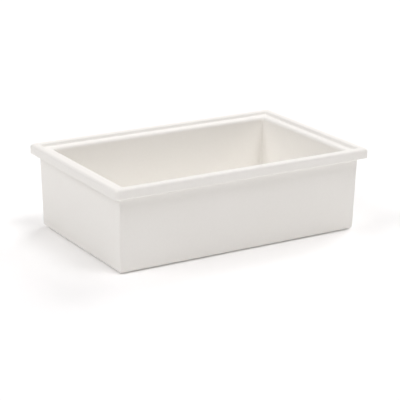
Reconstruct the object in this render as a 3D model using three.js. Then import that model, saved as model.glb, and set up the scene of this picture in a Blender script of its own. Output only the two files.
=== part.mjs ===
// A deep developing tray: one open, rectangular moulding with tapering walls and a stepped rim.
//
// Units are millimetres. X runs along the long side, Y across the tray and Z up.
// The origin is the centre of the underside, on the surface that the tray stands on.
//
// The whole tray is one section swept round a rounded rectangle. The section starts under the
// base, climbs the outside wall, turns round the rim and goes down inside to the floor.

import * as THREE from "three";

// Overall size, measured over the rim
const LENGTH = 400;
const WIDTH = 254;
const HEIGHT = 120;

// Outside of the body
const RIM_OVERHANG = 10.5; // how far the rim stands out from the top of the outside wall
const OUTSIDE_TAPER = 2.4; // how far the outside wall leans in from the rim down to the base
const BASE_EDGE_RADIUS = 4;
const BODY_CORNER_RADIUS = 3; // outside vertical corners

// Rim: an outer band, a flat lip and a ledge one step lower, where a lid can sit
const BAND_HEIGHT = 13.8;
const BAND_LOWER_RADIUS = 1.5;
const UNDERCUT_RADIUS = 0.8; // where the underside of the rim meets the outside wall
const RIM_CORNER_RADIUS = 5.5;
const LIP_WIDTH = 10.8;
const LIP_OUTER_RADIUS = 4;
const LIP_INNER_RADIUS = 3;
const STEP_DEPTH = 4.4;
const STEP_LEAN = 2.5; // how far the step leans in from the lip down to the ledge
const STEP_FOOT_RADIUS = 3;
const LEDGE_WIDTH = 11.5; // from the step to the inside wall
const SHOULDER_RADIUS = 5; // where the ledge turns down into the inside wall

// Inside
const INSIDE_TAPER = 6; // how far the inside wall leans in from the ledge down to the floor
const INSIDE_CORNER_RADIUS = 3;
const FLOOR_THICKNESS = 7;
const FLOOR_EDGE_RADIUS = 9;

// Underside: a low standing ring, set in from the edge, keeps the rest of the base off the surface
const BASE_LIFT = 1.5;
const RING_INSET = 8; // from the foot of the outside wall in to the ring
const RING_WIDTH = 6;

// How finely the curves are cut
const ARC_STEP = Math.PI / 10; // turn between two points of a rounding in the section
const CORNER_SEGMENTS = 8; // facets of each corner of the rounded rectangles

// The section's corners. inset is measured in from the outer face of the rim, height from the
// surface below, round is the rounding in the section, and plan is the corner radius of the
// rounded rectangle at that point.
function sectionCorners() {
  const wallTop = RIM_OVERHANG;
  const wallFoot = wallTop + OUTSIDE_TAPER;
  const ringOutside = wallFoot + RING_INSET;
  const ringInside = ringOutside + RING_WIDTH;
  const bandFoot = HEIGHT - BAND_HEIGHT;
  const ledge = HEIGHT - STEP_DEPTH;
  const stepFoot = LIP_WIDTH + STEP_LEAN;
  const insideTop = stepFoot + LEDGE_WIDTH;
  const insideFoot = insideTop + INSIDE_TAPER;
  const floorStart = insideFoot + 2 * FLOOR_EDGE_RADIUS;
  return [
    { inset: ringInside, height: BASE_LIFT, round: 0, plan: BODY_CORNER_RADIUS },
    { inset: ringInside, height: 0, round: 0, plan: BODY_CORNER_RADIUS },
    { inset: ringOutside, height: 0, round: 0, plan: BODY_CORNER_RADIUS },
    { inset: ringOutside, height: BASE_LIFT, round: 0, plan: BODY_CORNER_RADIUS },
    { inset: wallFoot, height: BASE_LIFT, round: BASE_EDGE_RADIUS, plan: BODY_CORNER_RADIUS },
    { inset: wallTop, height: bandFoot, round: UNDERCUT_RADIUS, plan: BODY_CORNER_RADIUS },
    { inset: 0, height: bandFoot, round: BAND_LOWER_RADIUS, plan: RIM_CORNER_RADIUS },
    { inset: 0, height: HEIGHT, round: LIP_OUTER_RADIUS, plan: RIM_CORNER_RADIUS },
    { inset: LIP_WIDTH, height: HEIGHT, round: LIP_INNER_RADIUS, plan: INSIDE_CORNER_RADIUS },
    { inset: stepFoot, height: ledge, round: STEP_FOOT_RADIUS, plan: INSIDE_CORNER_RADIUS },
    { inset: insideTop, height: ledge, round: SHOULDER_RADIUS, plan: INSIDE_CORNER_RADIUS },
    { inset: insideFoot, height: FLOOR_THICKNESS, round: FLOOR_EDGE_RADIUS, plan: INSIDE_CORNER_RADIUS },
    { inset: floorStart, height: FLOOR_THICKNESS, round: 0, plan: INSIDE_CORNER_RADIUS },
  ];
}

// The points that replace one corner of the section: an arc that touches both of its sides.
function roundedCorner(before, corner, after) {
  const at = new THREE.Vector2(corner.inset, corner.height);
  const toBefore = new THREE.Vector2(before.inset, before.height).sub(at).normalize();
  const toAfter = new THREE.Vector2(after.inset, after.height).sub(at).normalize();
  const halfAngle = Math.acos(toBefore.dot(toAfter)) / 2;
  const tangentLength = corner.round / Math.tan(halfAngle);
  const centreDistance = corner.round / Math.sin(halfAngle);
  const centre = toBefore.clone().add(toAfter).normalize().multiplyScalar(centreDistance).add(at);
  const start = toBefore.clone().multiplyScalar(tangentLength).add(at).sub(centre);
  const end = toAfter.clone().multiplyScalar(tangentLength).add(at).sub(centre);
  const turn = Math.atan2(start.cross(end), start.dot(end));
  const steps = Math.max(2, Math.round(Math.abs(turn) / ARC_STEP));
  const points = [];
  for (let step = 0; step <= steps; step++) {
    const spoke = start.clone().rotateAround(new THREE.Vector2(), (turn * step) / steps);
    points.push({ inset: centre.x + spoke.x, height: centre.y + spoke.y, plan: corner.plan });
  }
  return points;
}

// The whole section as one line of points, from under the base to the middle of the floor.
function section() {
  const corners = sectionCorners();
  return corners.flatMap((corner, index) => {
    if (corner.round === 0) {
      return [corner];
    }
    return roundedCorner(corners[index - 1], corner, corners[index + 1]);
  });
}

// One level of the tray: a rounded rectangle, counter-clockwise from above.
function outline({ inset, height, plan }) {
  const halfLength = LENGTH / 2 - inset;
  const halfWidth = WIDTH / 2 - inset;
  const shape = new THREE.Shape();
  shape.absarc(halfLength - plan, halfWidth - plan, plan, 0, Math.PI / 2);
  shape.absarc(plan - halfLength, halfWidth - plan, plan, Math.PI / 2, Math.PI);
  shape.absarc(plan - halfLength, plan - halfWidth, plan, Math.PI, 1.5 * Math.PI);
  shape.absarc(halfLength - plan, plan - halfWidth, plan, 1.5 * Math.PI, 2 * Math.PI);
  const points = shape.curves.flatMap((arc) => arc.getPoints(CORNER_SEGMENTS));
  return points.map((point) => new THREE.Vector3(point.x, point.y, height));
}

// Joins the levels into a closed skin. The first level is closed from below and the last from above.
function sweep(levels) {
  const count = levels[0].length;
  const vertices = levels.flat();
  const triangles = [];
  for (let level = 0; level + 1 < levels.length; level++) {
    for (let side = 0; side < count; side++) {
      const a = level * count + side;
      const b = level * count + ((side + 1) % count);
      triangles.push(a, b, b + count);
      triangles.push(a, b + count, a + count);
    }
  }
  const last = (levels.length - 1) * count;
  for (let side = 1; side + 1 < count; side++) {
    triangles.push(0, side + 1, side);
    triangles.push(last, last + side, last + side + 1);
  }
  const geometry = new THREE.BufferGeometry().setFromPoints(vertices);
  geometry.setIndex(triangles);
  geometry.computeVertexNormals();
  return geometry;
}

function makeTray() {
  const plastic = new THREE.MeshStandardMaterial({ color: 0xe6e2da, roughness: 0.5, metalness: 0 });
  const tray = new THREE.Mesh(sweep(section().map(outline)), plastic);
  tray.name = "tray_body";
  return tray;
}

const group = new THREE.Group();
group.add(makeTray());

export default group;
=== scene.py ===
"""A deep developing tray of ivory plastic on a white studio floor.

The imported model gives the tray's size. This script adds the fine surface of the moulding, its
plastic, the floor, the camera and the lights. Lengths are metres and angles are degrees.
"""

from math import acos, cos, pi, radians, sin, tan

import bpy
from mathutils import Matrix, Vector


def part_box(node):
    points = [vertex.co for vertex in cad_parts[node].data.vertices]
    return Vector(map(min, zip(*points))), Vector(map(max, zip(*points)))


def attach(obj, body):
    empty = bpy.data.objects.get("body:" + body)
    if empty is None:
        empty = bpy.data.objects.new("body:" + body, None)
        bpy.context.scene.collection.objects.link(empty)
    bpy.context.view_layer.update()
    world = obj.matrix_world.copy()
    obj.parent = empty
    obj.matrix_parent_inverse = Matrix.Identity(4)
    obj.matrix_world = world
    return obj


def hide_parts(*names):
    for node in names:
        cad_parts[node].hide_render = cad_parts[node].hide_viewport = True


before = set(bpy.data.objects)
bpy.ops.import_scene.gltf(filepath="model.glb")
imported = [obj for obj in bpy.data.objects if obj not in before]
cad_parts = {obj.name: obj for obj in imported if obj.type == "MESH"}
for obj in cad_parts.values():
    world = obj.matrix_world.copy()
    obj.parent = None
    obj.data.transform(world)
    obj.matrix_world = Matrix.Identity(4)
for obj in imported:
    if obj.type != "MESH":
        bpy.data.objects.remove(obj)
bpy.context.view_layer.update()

# Outside of the body
RIM_OVERHANG = 0.0105  # from the rim's outer face in to the top of the outside wall
OUTSIDE_TAPER = 0.0024  # how far the outside wall leans in down to the base
BASE_EDGE_RADIUS = 0.004
BODY_CORNER_RADIUS = 0.003  # outside vertical corners

# Rim: an outer band, a raised lip and a ledge one step lower
BAND_HEIGHT = 0.0138
BAND_LOWER_RADIUS = 0.0015
UNDERCUT_RADIUS = 0.0008
RIM_CORNER_RADIUS = 0.0055
LIP_WIDTH = 0.0108
LIP_OUTER_RADIUS = 0.004
LIP_INNER_RADIUS = 0.003
STEP_DEPTH = 0.0044
STEP_LEAN = 0.0025  # how far the step leans in from the lip down to the ledge
STEP_FOOT_RADIUS = 0.003
LEDGE_WIDTH = 0.0115
SHOULDER_RADIUS = 0.005  # where the ledge turns down into the inside wall

# Inside
INSIDE_TAPER = 0.006
INSIDE_CORNER_RADIUS = 0.003
FLOOR_THICKNESS = 0.007
FLOOR_EDGE_RADIUS = 0.009

# Underside: a low standing ring, set in from the edge, keeps the rest of the base off the floor
BASE_LIFT = 0.0015
RING_INSET = 0.008  # from the foot of the outside wall in to the ring
RING_WIDTH = 0.006
RING_EDGE_RADIUS = 0.0005

# Fineness of the mesh
SECTION_ARC_STEPS = 8  # points along each rounding of the section
CORNER_STEPS = 14  # points along each corner of the rounded rectangle
SIDE_SPACING = 0.012  # along the straight sides
HOLD_GAP = 0.0005  # from the end of a rounding to the extra point that keeps the flat beside it flat
CAP_INSET = 0.03  # how far the flat underside and inside floor run in before one face closes them

# Camera and lights
CAMERA_PLACE = (-1.0855, -1.7747, 0.7083)
CAMERA_YAW = -31.52
CAMERA_PITCH = 17.78
CAMERA_ROLL = 0.64
CAMERA_LENS = 139.6
SENSOR_WIDTH = 36
CAMERA_FAR = 100
WHITE = (1.0, 0.988, 0.995)
WARM_WHITE = (1.0, 0.92, 0.86)
# Soft suns: degrees round from the camera's direction, counter-clockwise from above, degrees above
# the floor, strength and colour.
SUNS = {
    "front": (0, 40, 0.32, WARM_WHITE),
    "right_high": (60, 65, 1.18, WHITE),
    "right_back_high": (120, 65, 0.2, WHITE),
    "back": (150, 40, 0.84, WHITE),
    "back_low": (150, 12, 0.3, WHITE),
    "left_back_high": (240, 57, 0.36, WHITE),
    "left": (292, 46, 0.93, WHITE),
}
SUN_ANGLE = 30  # how wide each sun looks from the tray, and so how soft its shadows are
WORLD_STRENGTH = 0.03

# Plastic. The noises are named for what they vary, and a higher scale is finer.
PLASTIC_COLOUR = (0.976, 0.96, 0.925)
COLOUR_PALER = (1.012, 1.012, 1.018)  # times the plastic's colour, at one end of the slow change of tone
COLOUR_WARMER = (0.988, 0.988, 0.980)  # and at its other end
TONE_SCALE = 9.0
TONE_DETAIL = 3.0
FLECK_SCALE = 260.0
FLECK_RANGE = (0.992, 1.008)  # times the colour
GRAIN_SCALE = 1400.0
FINE_DETAIL = 2.0
NOISE_RANGE = (0.3, 0.7)  # where nearly all of a noise's values lie
ROUGHNESS_RANGE = (0.62, 0.72)
GRAIN_STRENGTH = 0.06
GRAIN_DEPTH = 0.0003
PLASTIC_IOR = 1.49

# Studio floor
FLOOR_COLOUR = (1.0, 1.0, 1.0)
FLOOR_ROUGHNESS = 0.9
FLOOR_GLOW = 0.06
FLOOR_SIZE = 30


def section_corners(height):
    """The section's corners: inset from the rim's face, height, rounding, corner radius in plan."""
    wall_top = RIM_OVERHANG
    wall_foot = wall_top + OUTSIDE_TAPER
    ring_outside = wall_foot + RING_INSET
    ring_inside = ring_outside + RING_WIDTH
    band_foot = height - BAND_HEIGHT
    ledge = height - STEP_DEPTH
    step_foot = LIP_WIDTH + STEP_LEAN
    inside_top = step_foot + LEDGE_WIDTH
    inside_foot = inside_top + INSIDE_TAPER
    floor = FLOOR_THICKNESS
    floor_start = inside_foot + 2 * FLOOR_EDGE_RADIUS
    body = BODY_CORNER_RADIUS
    rim = RIM_CORNER_RADIUS
    inside = INSIDE_CORNER_RADIUS
    return [
        (ring_inside + CAP_INSET, BASE_LIFT, 0, body),
        (ring_inside, BASE_LIFT, RING_EDGE_RADIUS, body),
        (ring_inside, 0, RING_EDGE_RADIUS, body),
        (ring_outside, 0, RING_EDGE_RADIUS, body),
        (ring_outside, BASE_LIFT, RING_EDGE_RADIUS, body),
        (wall_foot, BASE_LIFT, BASE_EDGE_RADIUS, body),
        (wall_top, band_foot, UNDERCUT_RADIUS, body),
        (0, band_foot, BAND_LOWER_RADIUS, rim),
        (0, height, LIP_OUTER_RADIUS, rim),
        (LIP_WIDTH, height, LIP_INNER_RADIUS, inside),
        (step_foot, ledge, STEP_FOOT_RADIUS, inside),
        (inside_top, ledge, SHOULDER_RADIUS, inside),
        (inside_foot, floor, FLOOR_EDGE_RADIUS, inside),
        (floor_start, floor, 0, inside),
        (floor_start + CAP_INSET, floor, 0, inside),
    ]


def rounded_corner(before, corner, after):
    """The points that round one corner of the section, with a holding point at each end."""
    at = Vector(corner[:2])
    to_before = (Vector(before[:2]) - at).normalized()
    to_after = (Vector(after[:2]) - at).normalized()
    half = acos(to_before.dot(to_after)) / 2
    radius = corner[2]
    reach = radius / tan(half)
    centre = at + (to_before + to_after).normalized() * radius / sin(half)
    start = at + to_before * reach - centre
    end = at + to_after * reach - centre
    turn = pi - 2 * half
    hold = min(HOLD_GAP, radius / 4)
    points = [at + to_before * (reach + hold)]
    for step in range(SECTION_ARC_STEPS + 1):
        share = step / SECTION_ARC_STEPS
        spoke = start * sin((1 - share) * turn) + end * sin(share * turn)
        points.append(centre + spoke / sin(turn))
    points.append(at + to_after * (reach + hold))
    return [(point.x, point.y, corner[3]) for point in points]


def section(height):
    """The whole section, from under the base to the floor inside: inset, height, plan radius."""
    corners = section_corners(height)
    points = []
    for index, corner in enumerate(corners):
        if corner[2] == 0:
            points.append((corner[0], corner[1], corner[3]))
        else:
            points += rounded_corner(corners[index - 1], corner, corners[index + 1])
    return points


def corner_arc(x, y, radius, start):
    """A quarter circle round (x, y), counter-clockwise from the angle start."""
    points = []
    for step in range(CORNER_STEPS + 1):
        angle = radians(start + 90 * step / CORNER_STEPS)
        points.append(Vector((x + radius * cos(angle), y + radius * sin(angle))))
    return points


def ring(half_length, half_width, radius, steps):
    """One level of the tray: a rounded rectangle with evenly divided straight sides."""
    x = half_length - radius
    y = half_width - radius
    arcs = [
        corner_arc(x, y, radius, 0),
        corner_arc(-x, y, radius, 90),
        corner_arc(-x, -y, radius, 180),
        corner_arc(x, -y, radius, 270),
    ]
    points = []
    for index, arc in enumerate(arcs):
        following = arcs[(index + 1) % len(arcs)][0]
        count = steps[index % 2]
        points += arc
        points += [arc[-1].lerp(following, step / count) for step in range(1, count)]
    return points


def tray_mesh(low, high):
    """The fine mesh of the whole moulding: the section swept round, closed below and inside."""
    half = (high - low) / 2
    centre = (high + low) / 2
    steps = (round(2 * half.x / SIDE_SPACING), round(2 * half.y / SIDE_SPACING))
    levels = []
    for inset, height, radius in section(high.z - low.z):
        level = ring(half.x - inset, half.y - inset, radius, steps)
        levels.append([(p.x + centre.x, p.y + centre.y, low.z + height) for p in level])
    count = len(levels[0])
    vertices = [vertex for level in levels for vertex in level]
    faces = []
    for level in range(len(levels) - 1):
        for side in range(count):
            a = level * count + side
            b = level * count + (side + 1) % count
            faces.append((a, b, b + count, a + count))
    last = len(vertices) - count
    faces.append(tuple(reversed(range(count))))
    faces.append(tuple(range(last, len(vertices))))
    mesh = bpy.data.meshes.new("tray_shell")
    mesh.from_pydata(vertices, [], faces)
    mesh.shade_smooth()
    mesh.validate()
    return mesh


class Nodes:
    """A short way to add and join shader nodes."""

    def __init__(self, name):
        self.material = bpy.data.materials.new(name)
        self.material.use_nodes = True
        self.tree = self.material.node_tree
        self.shader = self.tree.nodes["Principled BSDF"]

    def add(self, kind, inputs=(), **settings):
        node = self.tree.nodes.new(kind)
        for name, value in settings.items():
            setattr(node, name, value)
        for name, value in dict(inputs).items():
            if isinstance(value, bpy.types.NodeSocket):
                self.tree.links.new(value, node.inputs[name])
            else:
                node.inputs[name].default_value = value
        return node

    def feed(self, name, output):
        self.tree.links.new(output, self.shader.inputs[name])

    def noise(self, place, scale, detail):
        inputs = {"Vector": place, "Scale": scale, "Detail": detail}
        return self.add("ShaderNodeTexNoise", inputs).outputs["Fac"]

    def spread(self, noise, limits):
        """Stretch a noise's values over the given limits."""
        inputs = {"Value": noise, "From Min": NOISE_RANGE[0], "From Max": NOISE_RANGE[1]}
        inputs.update({"To Min": limits[0], "To Max": limits[1]})
        return self.add("ShaderNodeMapRange", inputs).outputs["Result"]


def tinted(colour, factors):
    """The colour with each channel times its factor, as a shader colour."""
    return (*(channel * factor for channel, factor in zip(colour, factors)), 1)


def plastic_material():
    """Ivory moulded plastic: matt, faintly grained, with slow changes of tone and of sheen."""
    nodes = Nodes("ivory_plastic")
    place = nodes.add("ShaderNodeTexCoord").outputs["Object"]
    tone = nodes.noise(place, TONE_SCALE, TONE_DETAIL)
    fleck = nodes.noise(place, FLECK_SCALE, FINE_DETAIL)
    grain = nodes.noise(place, GRAIN_SCALE, FINE_DETAIL)
    warm = nodes.add("ShaderNodeMix", {"Factor": tone}, data_type="RGBA")
    warm.inputs["A"].default_value = tinted(PLASTIC_COLOUR, COLOUR_PALER)
    warm.inputs["B"].default_value = tinted(PLASTIC_COLOUR, COLOUR_WARMER)
    tint = nodes.add("ShaderNodeVectorMath", operation="SCALE")
    nodes.tree.links.new(warm.outputs["Result"], tint.inputs[0])
    nodes.tree.links.new(nodes.spread(fleck, FLECK_RANGE), tint.inputs["Scale"])
    nodes.feed("Base Color", tint.outputs["Vector"])
    nodes.feed("Roughness", nodes.spread(tone, ROUGHNESS_RANGE))
    relief = {"Height": grain, "Strength": GRAIN_STRENGTH, "Distance": GRAIN_DEPTH}
    nodes.feed("Normal", nodes.add("ShaderNodeBump", relief).outputs["Normal"])
    nodes.shader.inputs["IOR"].default_value = PLASTIC_IOR
    return nodes.material


def make_tray():
    tray = bpy.data.objects.new("tray_shell", tray_mesh(*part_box("tray_body")))
    bpy.context.collection.objects.link(tray)
    tray.data.materials.append(plastic_material())
    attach(tray, "root")
    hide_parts("tray_body")


def floor_material():
    nodes = Nodes("studio_floor")
    nodes.shader.inputs["Base Color"].default_value = (*FLOOR_COLOUR, 1)
    nodes.shader.inputs["Roughness"].default_value = FLOOR_ROUGHNESS
    nodes.shader.inputs["Specular IOR Level"].default_value = 0
    nodes.shader.inputs["Emission Color"].default_value = (1, 1, 1, 1)
    nodes.shader.inputs["Emission Strength"].default_value = FLOOR_GLOW
    return nodes.material


def make_floor():
    half = FLOOR_SIZE / 2
    mesh = bpy.data.meshes.new("studio_floor")
    corners = [(-half, -half, 0), (half, -half, 0), (half, half, 0), (-half, half, 0)]
    mesh.from_pydata(corners, [], [(0, 1, 2, 3)])
    floor = bpy.data.objects.new("studio_floor", mesh)
    bpy.context.collection.objects.link(floor)
    floor.data.materials.append(floor_material())


def make_camera():
    yaw = radians(CAMERA_YAW)
    pitch = radians(CAMERA_PITCH)
    roll = radians(CAMERA_ROLL)
    right = Vector((cos(yaw), sin(yaw), 0))
    forward = Vector((-sin(yaw) * cos(pitch), cos(yaw) * cos(pitch), -sin(pitch)))
    up = right.cross(forward)
    across = right * cos(roll) + up * sin(roll)
    above = up * cos(roll) - right * sin(roll)
    turn = Matrix((across, above, -forward)).transposed()
    camera = bpy.data.objects.new("camera", bpy.data.cameras.new("camera"))
    bpy.context.collection.objects.link(camera)
    camera.data.sensor_width = SENSOR_WIDTH
    camera.data.lens = CAMERA_LENS
    camera.data.clip_end = CAMERA_FAR
    camera.matrix_world = Matrix.Translation(CAMERA_PLACE) @ turn.to_4x4()
    bpy.context.scene.camera = camera


def make_sun(name, around, above, strength, colour):
    light = bpy.data.lights.new(name, "SUN")
    light.energy = strength
    light.color = colour
    light.angle = radians(SUN_ANGLE)
    lamp = bpy.data.objects.new(name, light)
    bpy.context.collection.objects.link(lamp)
    flat = Vector((CAMERA_PLACE[0], CAMERA_PLACE[1], 0)).normalized()
    towards = Matrix.Rotation(radians(around), 3, "Z") @ flat * cos(radians(above))
    towards.z = sin(radians(above))
    lamp.rotation_euler = (-towards).to_track_quat("-Z", "Y").to_euler()


def make_lights():
    for name, settings in SUNS.items():
        make_sun(name, *settings)
    world = bpy.data.worlds.new("studio")
    world.use_nodes = True
    world.node_tree.nodes["Background"].inputs["Color"].default_value = (*WHITE, 1)
    world.node_tree.nodes["Background"].inputs["Strength"].default_value = WORLD_STRENGTH
    bpy.context.scene.world = world


make_camera()
make_tray()
make_floor()
make_lights()
bpy.context.scene.view_settings.view_transform = "Standard"
